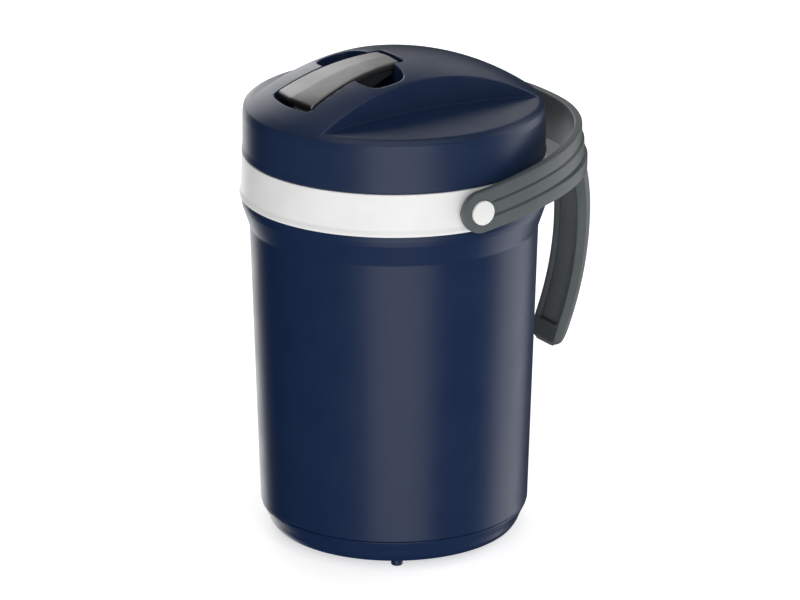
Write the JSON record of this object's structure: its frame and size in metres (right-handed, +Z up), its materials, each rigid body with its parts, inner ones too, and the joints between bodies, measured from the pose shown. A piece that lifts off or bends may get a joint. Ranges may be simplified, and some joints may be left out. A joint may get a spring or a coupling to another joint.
{
  "type": "insulated water jug",
  "caption": "Foam-insulated water jug with a white collar, domed twist-lock lid with a rocking pour lever, and a bail handle carrying a hanging grip.",
  "frame": {"origin": "centre of the plug under the base, on the jug's axis, level with the feet it stands on", "axes": "+Z up the jug's axis; -Y towards the pouring side, +Y towards the grip; +X along the handle's pivot pins"},
  "size_m": [0.223, 0.2521, 0.3284],
  "materials": {
    "outer_shell": "smooth navy, faint sheen",
    "base_cover": "smooth navy, faint sheen",
    "base_plug": "moulded",
    "foam_insulation": "expanded foam",
    "inner_liner": "smooth white",
    "rim_seal": "silicone",
    "collar": "smooth white",
    "pivot_pin_right": "smooth white",
    "pivot_pin_left": "smooth white",
    "handle_frame": "satin grey",
    "grip_cover": "satin grey",
    "lid_shell": "smooth navy, faint sheen",
    "lid_foam": "expanded foam",
    "lid_liner": "smooth white",
    "lid_gasket": "silicone",
    "spout_tube": "smooth white",
    "spout_seal": "silicone",
    "lever_plate": "satin, brushed",
    "lever_body": "moulded",
    "lever_pin": "drawn rod"
  },
  "bodies": {
    "jug": {"outer_shell": "outer_shell", "base_cover": "base_cover", "base_plug": "base_plug", "foam_insulation": "foam_insulation", "inner_liner": "inner_liner", "rim_seal": "rim_seal", "collar": "collar", "pivot_pin_right": "pivot_pin_right", "pivot_pin_left": "pivot_pin_left"},
    "handle": {"handle_frame": "handle_frame", "grip_cover": "grip_cover"},
    "lid_carrier": {"lid_gasket": "lid_gasket"},
    "lid": {"lid_shell": "lid_shell", "lid_foam": "lid_foam", "lid_liner": "lid_liner", "spout_tube": "spout_tube", "lever_pin": "lever_pin"},
    "lever": {"lever_plate": "lever_plate", "lever_body": "lever_body", "spout_seal": "spout_seal"}
  },
  "joints": [
    {"name": "handle_swing", "type": "hinge", "parent": "jug", "child": "handle", "pos_m": [0, 0, 0.2495], "axis": [1, 0, 0], "range_deg": [0, 95]},
    {"name": "lid_lift", "type": "slide", "parent": "jug", "child": "lid_carrier", "axis": [0, 0, 1], "range_m": [0, 0.0016]},
    {"name": "lid_turn", "type": "hinge", "parent": "lid_carrier", "child": "lid", "pos_m": [0, 0, 0.285], "axis": [0, 0, 1], "range_deg": [0, 60]},
    {"name": "lever_rock", "type": "hinge", "parent": "lid", "child": "lever", "pos_m": [0, -0.047, 0.314], "axis": [-1, 0, 0], "range_deg": [0, 22]}
  ],
  "couplings": [
    {"joint": "lid_lift", "follows": "lid_turn", "m_per_rad": 0.0014324}
  ]
}
